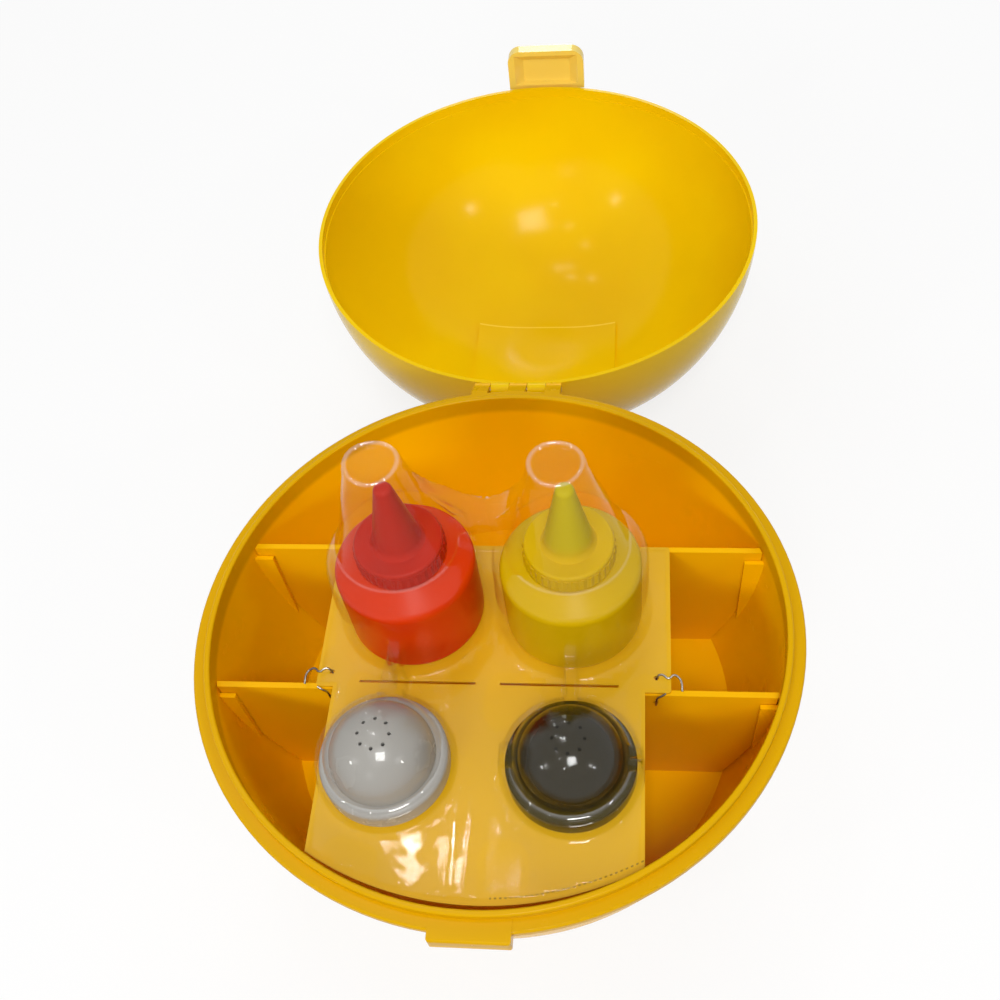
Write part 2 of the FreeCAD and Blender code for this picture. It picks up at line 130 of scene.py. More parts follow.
def noise(graph, point, grain):
    # a grain's scale and detail; its range, where it has one, is stretched to 0 to 1
    sockets = {"Vector": point, "Scale": grain["scale"], "Detail": grain["detail"]}
    made = graph.node("ShaderNodeTexNoise", {}, sockets)
    return made.within(*grain["range"]) if "range" in grain else made


def finishSurface(graph, sockets, bump, depth):
    # one Principled surface; bump is a height of 0 to 1 times depth in metres
    height = {"Height": bump, "Distance": depth, "Strength": 1.0}
    sockets = {**sockets, "Normal": graph.node("ShaderNodeBump", {}, height)}
    shader = graph.node("ShaderNodeBsdfPrincipled", {}, sockets)
    graph.node("ShaderNodeOutputMaterial", {}, {"Surface": shader})


def colour(*rgb):
    return (*rgb, 1.0)


plasticLook = {
    "roughness": (0.13, 0.21),      # polished, scuffed
    "gloss": 0.09,                  # specular level
    "index": 1.49,
    "flow": {"scale": 9.0, "detail": 3.0, "range": (0.35, 0.65)},
    "scuff": {"scale": 60.0, "detail": 6.0, "range": (0.55, 0.75)},
    "peel": {"scale": 420.0, "detail": 1.0},
    "peelDepth": 0.000002,          # metres
    "peelDulls": 0.03,              # roughness that the peel adds
}
lidLook = {
    **plasticLook, "tone": colour(0.88, 0.60, 0.001), "deep": colour(0.85, 0.55, 0.001),
    # painted highlight: a paler line along the far edge of the raised pad
    "padHighlightTone": colour(0.97, 0.71, 0.06),
    "padEdge": 0.2872, "padHalf": 0.0437,   # the line's y, half its length in x
    "padLine": (0.00044, 0.0011),           # distance at which it starts and ends fading
    "padAbove": 0.0040,                     # keeps it off the lid's outside
}
bowlLook = {
    **plasticLook, "tone": colour(0.93, 0.52, 0.0), "deep": colour(0.90, 0.48, 0.0),
    "roughness": (0.22, 0.34),
    "tipToneAndShade": colour(0.66, 0.36, 0.0), "tip": (0.1185, 0.1225),    # painted shade: the rim darker, by height
}
# the clasp's own yellow, made paler and whiter than the lid's: painted light for the strong light
# on it
claspLook = {
    **plasticLook, "tone": colour(0.93, 0.70, 0.13), "deep": colour(0.90, 0.66, 0.11),
    "gloss": 0.5,
}
dividerLook = {
    **plasticLook, "tone": colour(0.88, 0.47, 0.001), "deep": colour(0.84, 0.43, 0.001),
    "roughness": (0.28, 0.40),
}
bottleLook = {**plasticLook, "roughness": (0.30, 0.34), "peelDepth": 0.000001}
ketchupLook = {
    **bottleLook, "tone": colour(0.64, 0.034, 0.0), "deep": colour(0.58, 0.026, 0.0),
}
ketchupCapLook = {
    **bottleLook, "tone": colour(0.47, 0.018, 0.005), "deep": colour(0.43, 0.015, 0.004),
}
mustardLook = {
    **bottleLook, "tone": colour(0.60, 0.375, 0.0), "deep": colour(0.57, 0.35, 0.0),
}
mustardCapLook = {
    **mustardLook, "tipToneAndShade": colour(0.52, 0.40, 0.002), "tip": (0.1752, 0.183),    # the nozzle's own colour, by height
}
saltLook = {
    **plasticLook, "tone": colour(0.33, 0.316, 0.292), "deep": colour(0.30, 0.287, 0.264),
    "roughness": (0.24, 0.32), "gloss": 0.4,
}
# black, with a yellow cast in its tone: a painted reflection of the yellow bowl and film around it
pepperBaseLook = {
    **plasticLook, "tone": colour(0.042, 0.030, 0.002), "deep": colour(0.050, 0.036, 0.003),
    "roughness": (0.14, 0.22), "gloss": 0.12,
}
pepperLook = {
    **plasticLook, "tone": colour(0.020, 0.015, 0.005), "deep": colour(0.026, 0.020, 0.007),
    "roughness": (0.12, 0.20), "gloss": 0.26,
}


def mouldedPlastic(name, look):
    # tone drifts with the melt flow, fine orange peel, faint scuffs that dull the gloss
    # also a band by height (painted shade on the bowl rim) and a painted highlight on the lid pad
    material, graph = newGraph(name)
    point = objectPoint(graph)
    flow, peel, scuff = (noise(graph, point, look[grain]) for grain in ("flow", "peel", "scuff"))
    low, high = look["roughness"]
    tone = flow.tint(look["tone"], look["deep"])
    # a band by height in another colour: painted shade on the bowl rim, the nozzle's own colour on
    # the mustard cap
    if "tipToneAndShade" in look:
        z = axes(graph, point)[2]
        tone = z.within(*look["tip"]).tint(tone, look["tipToneAndShade"])
    # painted highlight: a paler line along the far edge of the lid's raised pad
    if "padHighlightTone" in look:
        x, y, z = axes(graph, point)
        near = (y - look["padEdge"]).size().within(*look["padLine"], 1.0, 0.0)
        along = 1 - x.size().above(look["padHalf"])
        padHighlight = near * along * z.above(look["padAbove"])
        tone = padHighlight.tint(tone, look["padHighlightTone"])
    sockets = {
        "Base Color": tone,
        "Roughness": low + scuff * (high - low) + peel * look["peelDulls"],
        "IOR": look["index"],
        "Specular IOR Level": look["gloss"],
    }
    finishSurface(graph, sockets, peel, look["peelDepth"])
    return material


cardLook = {
    "yellow": colour(0.72, 0.41, 0.003),
    "warm": colour(0.68, 0.375, 0.003),
    "drift": {"scale": 14.0, "detail": 2.0, "range": (0.3, 0.7)},
    "fibre": {"scale": 900.0, "detail": 3.0},
    "fibreDepth": 0.000012,
    "roughness": 0.36, "fibreDulls": 0.12,
    "gloss": 0.3,
    "dot": colour(0.22, 0.12, 0.002),
    "ink": 0.8,                         # how dark the dots print
    "front": -0.1158, "bow": 4.17,      # front edge y = front + bow * x^2
    "dotInset": 0.0026,
    "dotLine": (0.000225, 0.00045),     # distance at which the line starts and ends fading
    "dotPitch": 0.0019,
    "dotGap": (-0.1, 0.3),              # sine at which a dot starts and is full
    "dotFrom": 0.006,                   # dots only to the right of this
}


def printedCard(look):
    # smooth board with fine fibres and a dotted guide line inside the bowed edge
    material, graph = newGraph("printedCard")
    point = objectPoint(graph)
    x, y = axes(graph, point)[:2]
    inset = y - x * x * look["bow"] - (look["front"] + look["dotInset"])
    line = inset.size().within(*look["dotLine"], 1.0, 0.0)
    dots = graph.sum("SINE", x * (2 * math.pi / look["dotPitch"])).within(*look["dotGap"])
    printed = line * dots * x.above(look["dotFrom"]) * look["ink"]
    fibre = noise(graph, point, look["fibre"])
    board = noise(graph, point, look["drift"]).tint(look["yellow"], look["warm"])
    sockets = {
        "Base Color": printed.tint(board, look["dot"]),
        "Roughness": look["roughness"] + fibre * look["fibreDulls"],
        "Specular IOR Level": look["gloss"],
    }
    finishSurface(graph, sockets, fibre, look["fibreDepth"])
    return material


wireLook = {
    "bright": colour(0.36, 0.34, 0.30),
    "dull": colour(0.12, 0.10, 0.08),
    "tarnish": {"scale": 260.0, "detail": 4.0, "range": (0.4, 0.65)},
    "roughness": 0.25, "tarnishDulls": 0.25,
    "pitDepth": 0.00002,
}


def bareWire(look):
    # bright steel that dulls in tarnished patches
    material, graph = newGraph("bareWire")
    tarnish = noise(graph, objectPoint(graph), look["tarnish"])
    sockets = {
        "Base Color": tarnish.tint(look["bright"], look["dull"]),
        "Roughness": look["roughness"] + tarnish * look["tarnishDulls"],
        "Metallic": 1.0,
    }
    finishSurface(graph, sockets, tarnish, look["pitDepth"])
    return material


filmLook = {
    "sheen": colour(0.97, 0.97, 0.95),
    "clear": colour(0.992, 0.992, 0.988),
    "facing": 0.010, "edge": 0.80, "edgePower": 8.0, "edgeBlend": 0.5,     # share that mirrors
    "ripple": {"scale": 42.0, "detail": 2.5},
    "dent": 0.0005, "dentStrength": 0.5,
    "hazePatch": {"scale": 24.0, "detail": 3.0, "range": (0.45, 0.75)},
    "haze": 0.004, "roughness": 0.05, "hazeDulls": 0.05,
    # painted highlights: bright bands of more mirror share at given heights, each in front of a y
    "highlightLines": (
        {"height": 0.2194, "half": 0.0007, "gain": 0.10, "before": 1.0},        # top rims
        {"height": 0.1742, "half": 0.0007, "gain": 0.055, "before": 1.0},       # bottle necks
        {"height": 0.1347, "half": 0.0006, "gain": 0.10, "before": -0.034},     # shaker feet
    ),
    "highlightLineCore": 0.3,              # part of the half width that is full
}


def clearFilm(look):
    # mostly clear, with a mirror gloss that grows where the film is seen on edge
    material, graph = newGraph("clearFilm")
    point = objectPoint(graph)
    y, z = axes(graph, point)[1:]
    haze = noise(graph, point, look["hazePatch"])
    bump = graph.node("ShaderNodeBump", {}, {
        "Height": noise(graph, point, look["ripple"]), "Distance": look["dent"],
        "Strength": look["dentStrength"]})
    clear = graph.node("ShaderNodeBsdfTransparent", {}, {"Color": look["clear"]})
    gloss = graph.node("ShaderNodeBsdfPrincipled", {}, {
        "Base Color": look["sheen"], "Metallic": 1.0,
        "Roughness": look["roughness"] + haze * look["hazeDulls"], "Normal": bump})
    weight = graph.node("ShaderNodeLayerWeight", {}, {"Blend": look["edgeBlend"]}, 1)
    factor = look["facing"] + weight ** look["edgePower"] * look["edge"] + haze * look["haze"]
    # painted highlights: each band adds mirror share at its height, in front of its y
    for highlightBand in look["highlightLines"]:
        core = highlightBand["half"] * look["highlightLineCore"]
        line = (z - highlightBand["height"]).size().within(core, highlightBand["half"], highlightBand["gain"], 0.0)
        factor = factor + line * (highlightBand["before"] - y).above(0.0)
    film = graph.node("ShaderNodeMixShader", {}, {0: factor, 1: clear, 2: gloss})
    graph.node("ShaderNodeOutputMaterial", {}, {"Surface": film})
    return material


finishes = {
    "lid": mouldedPlastic("lidYellow", lidLook),
    "clasp": mouldedPlastic("claspYellow", claspLook),
    "bowl": mouldedPlastic("bowlYellow", bowlLook),
    "divider": mouldedPlastic("dividerYellow", dividerLook),
    "ketchup": mouldedPlastic("ketchupRed", ketchupLook),
    "ketchupCap": mouldedPlastic("ketchupCapRed", ketchupCapLook),
    "mustard": mouldedPlastic("mustardYellow", mustardLook),
    "mustardCap": mouldedPlastic("mustardCapYellow", mustardCapLook),
    "salt": mouldedPlastic("saltGrey", saltLook),
    "pepper": mouldedPlastic("pepperBlack", pepperLook),
    "pepperBase": mouldedPlastic("pepperBaseBlack", pepperBaseLook),
    "card": printedCard(cardLook),
    "wire": bareWire(wireLook),
    "film": clearFilm(filmLook),
}
nodeFinish = {
    "base_bowl": "bowl", "lid_shell": "lid", "clasp": "clasp",
    "rear_divider": "divider", "front_divider": "divider",
    "carrier_card": "card", "clear_cover": "film",
    "ketchup_bottle": "ketchup", "ketchup_cap": "ketchupCap",
    "mustard_bottle": "mustard", "mustard_cap": "mustardCap",
    "salt_base": "salt", "salt_dome": "salt",
    "pepper_base": "pepperBase", "pepper_dome": "pepper",
    "hinge_pin": "wire", "clasp_pin": "wire", "left_tie": "wire", "right_tie": "wire",
}
for nodeName, finish in nodeFinish.items():
    slots = nodes[nodeName].data.materials
    slots.clear()
    slots.append(finishes[finish])
print("caddy: finishes set")

millimetre = 0.001
weldDistance = 0.00002      # metres

# Clear cover, in mm above the card; a profile is (radius, height) from the flange up
coverShape = {
    "wall": 0.0004,         # metres
    "sides": 110,           # apart from the finer ones round each web
    "rows": 84,             # of a bottle form; a shaker form has half as many
    "corner": 5.0,          # mm of row spacing given to each radian of bend
    "rounding": 3,          # times that a profile's corners are cut
    "turnPlaces": 3,        # decimals of a radian, past which two sides are one
    "bottle": ((33.2, 0.45), (31.8, 2.4), (31.2, 40.0), (29.8, 44.2), (25.2, 49.4), (22.8, 54.0),
               (11.7, 91.0), (10.9, 95.3), (10.3, 96.7), (9.5, 97.0), (8.9, 96.6), (8.3, 95.5),
               (0.0, 95.3)),
    "shakerFoot": ((28.2, 0.45), (27.0, 2.0), (26.9, 10.4), (26.2, 11.2), (23.2, 11.5),
                   (22.4, 12.8)),
    "domeRadius": 22.4, "domeSpring": 12.8, "domeRise": 20.6, "domeSteps": 40,
    "lean": (-2.8, 3.4), "leanFrom": 46.0, "leanTo": 97.0,
    "dents": 0.22, "dentTurns": 3, "dentPitch": 0.21,
    # webs: spread (radians) and finer give the extra sides that each one gets
    "bridge": {"half": 6.7, "offset": 10.7, "top": 56.5, "arch": 28.0, "slim": 0.65, "soft": 2.4,
               "spread": 0.7, "finer": 41},
    "channel": {"half": 2.7, "offset": 0.0, "top": 25.0, "arch": 5.0, "slim": 0.2, "soft": 1.6,
                "spread": 0.16, "finer": 15},
    "ear": {"half": 4.6, "offset": 0.0, "top": 15.0, "arch": 2.5, "slim": 0.2, "soft": 0.8,
            "reach": 27.2, "spread": 0.26, "finer": 17},
    "flange": {"front": 114.3, "bow": 0.0042, "bowSteps": 60, "left": -63.8, "right": 60.6,
               "wide": 71.0, "rear": 38.4, "step": -28.0, "grid": 3.0, "merge": 1e-4,
               "lift": 0.45, "settle": 5.0, "fold": 0.5, "foldWidth": 2.6, "foldAt": -3.6,
               "foldStart": -44.0, "foldEase": 12.0, "ripple": 0.16, "rippleAcross": 0.11,
               "ripplePhase": 0.6, "rippleAlong": 0.09},
    # least divisors, cosine from which a side faces a web, slack at a web's edges, and the
    # radius inside which there are no dents
    "limits": {"aside": 1e-6, "ahead": 1e-3, "front": 0.05, "band": 1.001, "blend": 1e-3,
               "cut": 1e-4, "crown": 1.0},
}


def cutCorners(points, times):
    # each side keeps its second and third quarters, so corners grow round
    for _ in range(times):
        first, second = points[:-1], points[1:]
        inner = np.stack([0.75 * first + 0.25 * second, 0.25 * first + 0.75 * second], 1)
        inner = inner.reshape(-1, points.shape[1])
        points = np.concatenate([points[:1], inner, points[-1:]])
    return points


def evenly(points, count, corner):
    # points along the same line, at even steps of its length plus corner times its bend
    step = np.diff(points, axis=0)
    heading = np.unwrap(np.arctan2(step[:, 1], step[:, 0]))
    bend = np.concatenate([[0], np.abs(np.diff(heading))])
    run = np.concatenate([[0], np.cumsum(np.hypot(*step.T) + corner * bend)])
    at = np.linspace(0, run[-1], count)
    return np.stack([np.interp(at, run, points[:, 0]), np.interp(at, run, points[:, 1])], 1)


def softMax(first, second, blend):
    # (a + b + sqrt((a - b)^2 + blend^2)) / 2
    return (first + second + np.sqrt((first - second) ** 2 + blend ** 2)) / 2


def ringQuads(rows, sides):
    # faces of a grid of rows whose sides run round and close
    row, side = np.meshgrid(np.arange(rows - 1), np.arange(sides), indexing="ij")
    following = (side + 1) % sides
    corners = [row * sides + side, row * sides + following,
               (row + 1) * sides + following, (row + 1) * sides + side]
    return np.stack(corners, -1).reshape(-1, 4)


def blownForm(axis, profile, webs, shape, lean=(0.0, 0.0)):
    # r(turn, row) = profile radius, swollen into each web: a slab of a half width about an
    # offset line from the axis to a neighbour, that ends at reach and whose roof rises to the
    # wall in a quarter ellipse
    limits = shape["limits"]
    turn = np.linspace(0, 2 * np.pi, shape["sides"], endpoint=False)
    finer = [web["turn"] + np.linspace(-1, 1, web["finer"]) * web["spread"] for web in webs]
    turn = np.concatenate([turn, *finer]) % (2 * np.pi)
    turn = np.unique(np.round(turn, shape["turnPlaces"]))[None, :]
    sides = turn.shape[1]
    radius, height = profile[:, :1], profile[:, 1:]
    grown = np.repeat(radius, sides, 1)
    drop = np.zeros(grown.shape, bool)
    for web in webs:
        ahead, aside = np.cos(turn - web["turn"]), np.sin(turn - web["turn"])
        inFront, forward = ahead > limits["front"], np.maximum(ahead, limits["ahead"])
        climb = np.clip((height - web["top"]) / web["arch"], 0, 1)
        slim = 1 - web["slim"] * climb
        offset, half = web["offset"] * slim, web["half"] * slim
        wall = np.sqrt(np.maximum(radius ** 2 - offset ** 2, 0))
        run = np.maximum(web["reach"] - wall, 0) * np.sqrt(1 - (1 - climb) ** 2)
        edge = offset + np.where(aside > 0, half, -half)
        bound = edge / np.where(np.abs(aside) < limits["aside"], limits["aside"], aside)
        slab = np.minimum(np.where(bound > 0, bound, 0), (web["reach"] - run) / forward)
        inBand = np.abs(slab * aside - offset) <= half * limits["band"]
        blend = web["soft"] * (1 - climb) + limits["blend"]
        joined = inFront & inBand & (climb < 1) & (slab > radius - blend)
        grown = np.where(joined, softMax(grown, slab, blend), grown)
        if web["open"]:
            grown = np.where(inFront, np.minimum(grown, web["reach"] / forward), grown)
            drop |= inFront & (grown * ahead >= web["reach"] - limits["cut"])
    dents = shape["dents"] * np.sin(shape["dentTurns"] * turn) * np.sin(shape["dentPitch"] * height)
    grown = np.where(drop, grown, grown + dents * (radius > limits["crown"]))
    ease = (height - shape["leanFrom"]) / (shape["leanTo"] - shape["leanFrom"])
    ease = np.clip(ease, 0, 1)
    x = axis[0] + grown * np.cos(turn) + lean[0] * ease
    y = axis[1] + grown * np.sin(turn) + lean[1] * ease
    points = np.stack([x, y, height + 0 * turn], 2)
    quads = ringQuads(len(profile), sides)
    keep = ~drop.reshape(-1)[quads].all(1)
    return points.reshape(-1, 3), quads[keep], points[0, :, :2]


def inside(points, ring):
    # even-odd rule, all points against all edges of the ring
    x0, y0 = ring.T
    x1, y1 = np.roll(ring, -1, 0).T
    px, py = points[:, :1], points[:, 1:]
    spans = (y0 > py) != (y1 > py)
    rise = np.where(y1 == y0, 1.0, y1 - y0)     # a level edge spans no point, so 1 will do
    at = x0 + (py - y0) * (x1 - x0) / rise
    return (spans & (px < at)).sum(1) % 2 == 1


def flangeSheet(shape, rings):
    # flat sheet inside the outline and outside the blown forms, with a low fold down its front:
    # z = lift + fold * bell(x) + ripple * sin(x) * cos(y), both settling to 0 beside a form
    across = np.linspace(shape["right"], shape["left"], shape["bowSteps"])
    bowed = np.stack([across, shape["bow"] * across ** 2 - shape["front"]], 1)
    wide, rear, step = shape["wide"], shape["rear"], shape["step"]
    sidesAndBack = [(shape["right"], step), (wide, step), (wide, rear), (-wide, rear),
                    (-wide, step), (shape["left"], step)]
    outline = np.concatenate([bowed[::-1], sidesAndBack])
    columns = np.arange(-wide, wide, shape["grid"])
    lines = np.arange(-shape["front"], rear, shape["grid"])
    grid = np.stack(np.meshgrid(columns, lines), -1).reshape(-1, 2)
    grid = grid[inside(grid, outline)]
    for ring in rings:
        grid = grid[~inside(grid, ring)]
    loops = [outline, *rings]
    points = np.concatenate([*loops, grid])
    starts = np.cumsum([0] + [len(loop) for loop in loops])
    orders = [np.arange(len(loop)) for loop in loops]
    edges = np.concatenate([np.stack([order, np.roll(order, -1)], 1) + start
                            for order, start in zip(orders, starts)])
    flat = [Vector(point) for point in points.tolist()]
    made = delaunay_2d_cdt(flat, edges.tolist(), [], 0, shape["merge"])
    sheet = np.array([tuple(point) for point in made[0]])
    faces = np.array(made[2])
    middle = sheet[faces].mean(1)
    keep = inside(middle, outline)
    for ring in rings:
        keep &= ~inside(middle, ring)
    x, y = sheet.T
    ease = np.clip((shape["foldStart"] - y) / shape["foldEase"], 0, 1)
    fold = shape["fold"] * ease * np.exp(-((x - shape["foldAt"]) / shape["foldWidth"]) ** 2)
    ripple = np.sin(x * shape["rippleAcross"] + shape["ripplePhase"])
    ripple = shape["ripple"] * ripple * np.cos(y * shape["rippleAlong"])
    away = np.min([np.hypot(x[:, None] - ring[:, 0], y[:, None] - ring[:, 1]).min(1)
                   for ring in rings], 0)
    settle = np.clip(away / shape["settle"], 0, 1)
    return np.column_stack([sheet, shape["lift"] + (fold + ripple) * settle]), faces[keep]


def newPiece(name, points, faces, material, body):
    # a smooth mesh with its seams and poles welded
    mesh = bpy.data.meshes.new(name)
    mesh.from_pydata(points.tolist(), [], [face.tolist() for part in faces for face in part])
    mesh.polygons.foreach_set("use_smooth", np.ones(len(mesh.polygons), bool))
    work = bmesh.new()
    work.from_mesh(mesh)
    bmesh.ops.remove_doubles(work, verts=work.verts, dist=weldDistance)
    work.to_mesh(mesh)
    work.free()
    mesh.materials.append(material)
    mesh.update()
    piece = bpy.data.objects.new(name, mesh)
    scene.collection.objects.link(piece)
    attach(piece, body)
    return piece


def nodeMiddle(name):
    # middle of a node's box, in mm
    low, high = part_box(name)
    return (np.array(low) + np.array(high)) / 2 / millimetre


def buildCover(shape):
    # a blown form over each bottle and shaker, joined by webs, and the flange round them
    bottles = [nodeMiddle("ketchup_bottle"), nodeMiddle("mustard_bottle")]
    shakers = [nodeMiddle("salt_base"), nodeMiddle("pepper_base")]
    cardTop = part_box("carrier_card")[1][2] / millimetre
    rounded = [cutCorners(np.array(shape[line]), shape["rounding"])
               for line in ("bottle", "shakerFoot")]
    # a shaker's dome is a quarter ellipse: out by radius * cos(lift), up by rise * sin(lift)
    lift = np.linspace(0, np.pi / 2, shape["domeSteps"])
    dome = np.stack([shape["domeRadius"] * np.cos(lift),
                     shape["domeSpring"] + shape["domeRise"] * np.sin(lift)], 1)
    bottleLine = evenly(rounded[0], shape["rows"], shape["corner"])
    shakerLine = np.concatenate([rounded[1], dome[1:]])
    shakerLine = evenly(shakerLine, shape["rows"] // 2, shape["corner"])
    between = (bottles[1][0] - bottles[0][0]) / 2
    parts = []
    for index, (bottle, shaker) in enumerate(zip(bottles, shakers)):
        bridge = {**shape["bridge"], "turn": math.pi * index, "reach": between, "open": True}
        bridge["offset"] *= 1 - 2 * index       # the second half faces the other way
        along = shaker[:2] - bottle[:2]
        aim, span = math.atan2(along[1], along[0]), math.hypot(*along)
        near = (span + shape["bottle"][1][0] - shape["shakerFoot"][1][0]) / 2
        down = {**shape["channel"], "turn": aim, "reach": near, "open": True}
        parts.append(blownForm(bottle, bottleLine, [bridge, down], shape, shape["lean"]))
        webs = [{**shape["channel"], "turn": aim + math.pi, "reach": span - near, "open": True}]
        if index == 1:                          # only the pepper shaker's form has ears
            webs += [{**shape["ear"], "turn": turn, "open": False} for turn in (0, math.pi)]
        parts.append(blownForm(shaker, shakerLine, webs, shape))
    sheet, triangles = flangeSheet(shape["flange"], [ring for points, quads, ring in parts])
    starts = np.cumsum([0] + [len(points) for points, quads, ring in parts])
    points = np.concatenate([part[0] for part in parts] + [sheet])
    points[:, 2] += cardTop
    faces = [quads + start for (_, quads, _), start in zip(parts, starts)]
    faces.append(triangles + starts[-1])
    cover = newPiece("clearCover", points * millimetre, faces, finishes["film"],
                     "base")
    wall = cover.modifiers.new("filmWall", "SOLIDIFY")
    wall.thickness = shape["wall"]
    wall.offset = -1.0
    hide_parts("clear_cover")


buildCover(coverShape)
print("caddy: clear cover formed")

tieShape = {
    "radius": 0.45, "sides": 12, "rounding": 3, "slot": "steel_wire",
    "aside": (0.55, 0.62, 0.56),    # a direction that no run of the wire follows
    # steps outwards, back and up from the hole in the card, in mm
    "path": ((10.2, -6.5, 1.6), (10.0, -2.2, 3.0), (7.0, 0.8, 2.6), (4.8, -1.7, 2.0),
             (2.4, 0.6, 2.6), (0.0, 0.0, 1.6), (0.0, 0.0, -7.2), (0.0, -9.8, -7.2),
             (0.0, -9.8, 1.6), (1.4, -10.4, 4.2), (3.6, -9.4, 5.2)),
}


def tube(points, shape):
    # circle of a radius carried along the points, square to their run, ends closed to a point
    ahead = np.gradient(points, axis=0)
    ahead /= np.linalg.norm(ahead, axis=1, keepdims=True)
    across = np.cross(ahead, shape["aside"])
    across /= np.linalg.norm(across, axis=1, keepdims=True)
    upward = np.cross(ahead, across)
    turn = np.linspace(0, 2 * np.pi, shape["sides"], endpoint=False)[None, :, None]
    around = across[:, None] * np.cos(turn) + upward[:, None] * np.sin(turn)
    around = np.concatenate([around[:1], around, around[-1:]])
    stations = np.concatenate([points[:1], points, points[-1:]])
    size = np.full((len(stations), 1, 1), shape["radius"])
    size[[0, -1]] = 0
    skin = stations[:, None] + around * size
    return skin.reshape(-1, 3), ringQuads(len(stations), shape["sides"])


def buildTies(shape):
    # the same bent wire on both sides of the card, mirrored
    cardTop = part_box("carrier_card")[1][2] / millimetre
    for name, node, side in (("leftTie", "left_tie", -1), ("rightTie", "right_tie", 1)):
        low, high = (np.array(corner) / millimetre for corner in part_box(node))
        holeX = (high[0] - shape["radius"]) if side < 0 else (low[0] + shape["radius"])
        holeY = high[1] - shape["radius"]
        steps = cutCorners(np.array(shape["path"]), shape["rounding"]) * (side, 1, 1)
        points, quads = tube(steps + (holeX, holeY, cardTop), shape)
        tie = newPiece(name, points * millimetre, [quads], finishes["wire"],
                       "base")
        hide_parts(node)


buildTies(tieShape)
print("caddy: wire ties bent")

# Camera: where the photograph was taken from, worked out from the two round rims
cameraView = {
    "rimHeight": 0.126,
    "rimRadius": 0.127,
    "standsAt": (0.455, -1.799, 3.195),     # in rim radii from the rim's centre
    "yaw": -9.53, "pitch": 55.53, "roll": -7.45,
    "focal": 1.121,                         # in image widths
    "shift": (-0.03, 0.03),
    "sensor": 36.0,                         # mm
    "farthest": 20.0,
}


def placeCamera(view):
    # yaw turns the view from +Y, pitch lowers it, roll turns it about itself
    yaw, pitch, roll = (math.radians(view[name]) for name in ("yaw", "pitch", "roll"))
    level = Vector((math.cos(yaw), -math.sin(yaw), 0))
    ahead = Vector((math.sin(yaw) * math.cos(pitch), math.cos(yaw) * math.cos(pitch),
                    -math.sin(pitch)))
    upright = level.cross(ahead)
    right = level * math.cos(roll) + upright * math.sin(roll)
    up = upright * math.cos(roll) - level * math.sin(roll)
    data = bpy.data.cameras.new("photoCamera")
    data.sensor_width = view["sensor"]
    data.lens = view["focal"] * view["sensor"]
    data.shift_x, data.shift_y = view["shift"]
    data.clip_end = view["farthest"]
    camera = bpy.data.objects.new("photoCamera", data)
    scene.collection.objects.link(camera)
    place = Vector(view["standsAt"]) * view["rimRadius"] + Vector((0, 0, view["rimHeight"]))
    turn = Matrix((right, up, -ahead)).transposed().to_4x4()
    camera.matrix_world = Matrix.Translation(place) @ turn
    scene.camera = camera


placeCamera(cameraView)

# Soft lamps light the object; small bright ones give the glints in plastic and film
studio = {
    "floorHalf": 30.0,
    "floorColour": colour(0.90, 0.90, 0.90),
    "floorBounce": colour(0.45, 0.45, 0.45),    # what the floor throws back on the object
    "floorGlow": 0.80,
    "skyStrength": 0.34,
    "white": colour(1, 1, 1),
    "lamps": {
        "rear": {"at": (0.3, 2.0, 1.3), "to": (0, 0.2, 0.1), "size": (1.2, 1.0),
                 "power": 9.0, "mirrored": False},
        "front": {"at": (0.15, -0.6, 1.3), "to": (0, 0.08, 0.1), "size": (0.36, 0.36),
                  "power": 8.0},
        "windowRight": {"at": (1.5, -0.95, 1.3), "to": (0, 0.1, 0.1), "size": (0.14, 0.21),
                        "power": 3.0},
        "windowLeft": {"at": (-1.5, -1.0, 1.15), "to": (0, 0.1, 0.1), "size": (0.14, 0.21),
                       "power": 2.6},
        "windowFront": {"at": (-0.6, -2.1, 1.0), "to": (0, 0.3, 0.1), "size": (0.70, 0.45),
                        "power": 14.0, "mirrored": False},
        "glint": {"at": (-0.6, -2.1, 1.0), "to": (0, 0.3, 0.1), "size": (0.08, 0.13),
                  "power": 0.7},
        "rearGlow": {"at": (-0.1, 1.75, 1.05), "to": (0, 0.4, 0.1), "size": (0.5, 0.25),
                     "power": 3.0},
        "rearLow": {"at": (-0.9, 1.65, 1.0), "to": (0, 0, 0.1), "size": (0.08, 0.08),
                    "power": 0.8},
        "crownLeft": {"at": (-0.098, 1.549, 1.24), "to": (0, 0.3, 0), "size": (0.03, 0.03),
                      "power": 0.15},
        "crownRight": {"at": (-0.058, 1.552, 1.24), "to": (0, 0.3, 0), "size": (0.02, 0.03),
                       "power": 0.12},
        "paneLeft": {"at": (-0.265, 0.245, 1.24), "to": (0, -0.09, 0.12),
                     "size": (0.045, 0.055), "power": 0.20},
        "paneRight": {"at": (-0.168, 0.262, 1.24), "to": (0, -0.09, 0.12),
                      "size": (0.045, 0.09), "power": 0.28},
    },
    "spots": ((-0.35, 0.43, 1.60), (-0.61, 0.49, 1.60), (-0.64, -0.18, 1.60),
              (-0.44, -0.65, 1.60), (0.06, -1.00, 1.45), (-0.22, -1.10, 1.40)),
    "spot": {"to": (0, 0.1, 0.1), "size": (0.04, 0.04), "power": 0.35},
    # film walls stand many deep on one line of sight, and light goes round inside the bowl
    "bounces": {"seeThrough": 64, "inAll": 16, "diffuse": 8},
}


def seenDirect(graph):
    # 1 on camera, mirror and see-through rays
    path = graph.node("ShaderNodeLightPath").socket.node
    camera, glossy, through = (Signal(graph.tree, path.outputs[name]) for name in (
        "Is Camera Ray", "Is Glossy Ray", "Is Transmission Ray"))
    return graph.sum("MAXIMUM", graph.sum("MAXIMUM", camera, glossy), through)


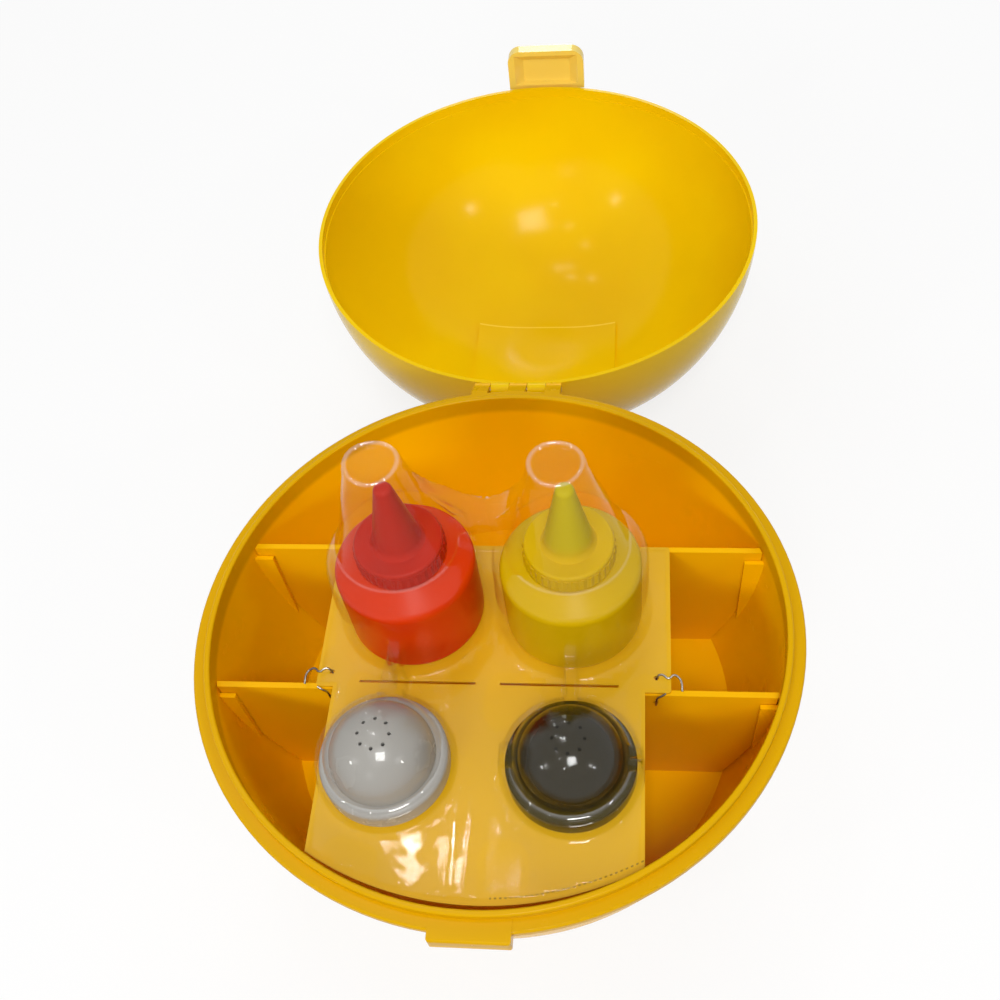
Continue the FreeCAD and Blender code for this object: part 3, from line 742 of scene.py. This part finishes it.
def layFloor(setup):
    # pale where it is seen, greyer as a light, and it keeps the object's shadow
    half = setup["floorHalf"]
    corners = [(-half, -half, 0), (half, -half, 0), (half, half, 0), (-half, half, 0)]
    mesh = bpy.data.meshes.new("studioFloor")
    mesh.from_pydata(corners, [], [(0, 1, 2, 3)])
    floor = bpy.data.objects.new("studioFloor", mesh)
    scene.collection.objects.link(floor)
    material, graph = newGraph("paleFloor")
    seen = seenDirect(graph)
    tone = seen.tint(setup["floorBounce"], setup["floorColour"])
    matte = graph.node("ShaderNodeBsdfDiffuse", {}, {"Color": tone})
    glow = graph.node("ShaderNodeEmission", {}, {"Color": setup["white"], "Strength": 1.0})
    share = {0: seen * setup["floorGlow"], 1: matte, 2: glow}
    mixed = graph.node("ShaderNodeMixShader", {}, share)
    graph.node("ShaderNodeOutputMaterial", {}, {"Surface": mixed})
    mesh.materials.append(material)


def hangSky(setup):
    # white where it is seen, dimmer as a light
    world = bpy.data.worlds.new("studioSky")
    scene.world = world
    world.use_nodes = True
    world.node_tree.nodes.clear()
    sky = Signal(world.node_tree)
    strength = setup["skyStrength"] + seenDirect(sky) * (1.0 - setup["skyStrength"])
    sockets = {"Color": setup["white"], "Strength": strength}
    light = sky.node("ShaderNodeBackground", {}, sockets)
    sky.node("ShaderNodeOutputWorld", {}, {"Surface": light})


def hangLamps(setup):
    # area lamps, each turned to the point that it lights
    spots = {"spot%d" % index: {**setup["spot"], "at": place}
             for index, place in enumerate(setup["spots"])}
    for name, lamp in {**setup["lamps"], **spots}.items():
        data = bpy.data.lights.new(name, "AREA")
        data.shape = "RECTANGLE"
        data.size, data.size_y = lamp["size"]
        data.energy = lamp["power"]
        made = bpy.data.objects.new(name, data)
        scene.collection.objects.link(made)
        made.visible_glossy = lamp.get("mirrored", True)
        made.location = lamp["at"]
        aim = Vector(lamp["to"]) - Vector(lamp["at"])
        made.rotation_euler = aim.to_track_quat("-Z", "Y").to_euler()


layFloor(studio)
hangSky(studio)
hangLamps(studio)
scene.view_settings.view_transform = "Standard"
scene.cycles.transparent_max_bounces = studio["bounces"]["seeThrough"]
scene.cycles.max_bounces = studio["bounces"]["inAll"]
scene.cycles.diffuse_bounces = studio["bounces"]["diffuse"]
print("caddy: studio and camera ready")
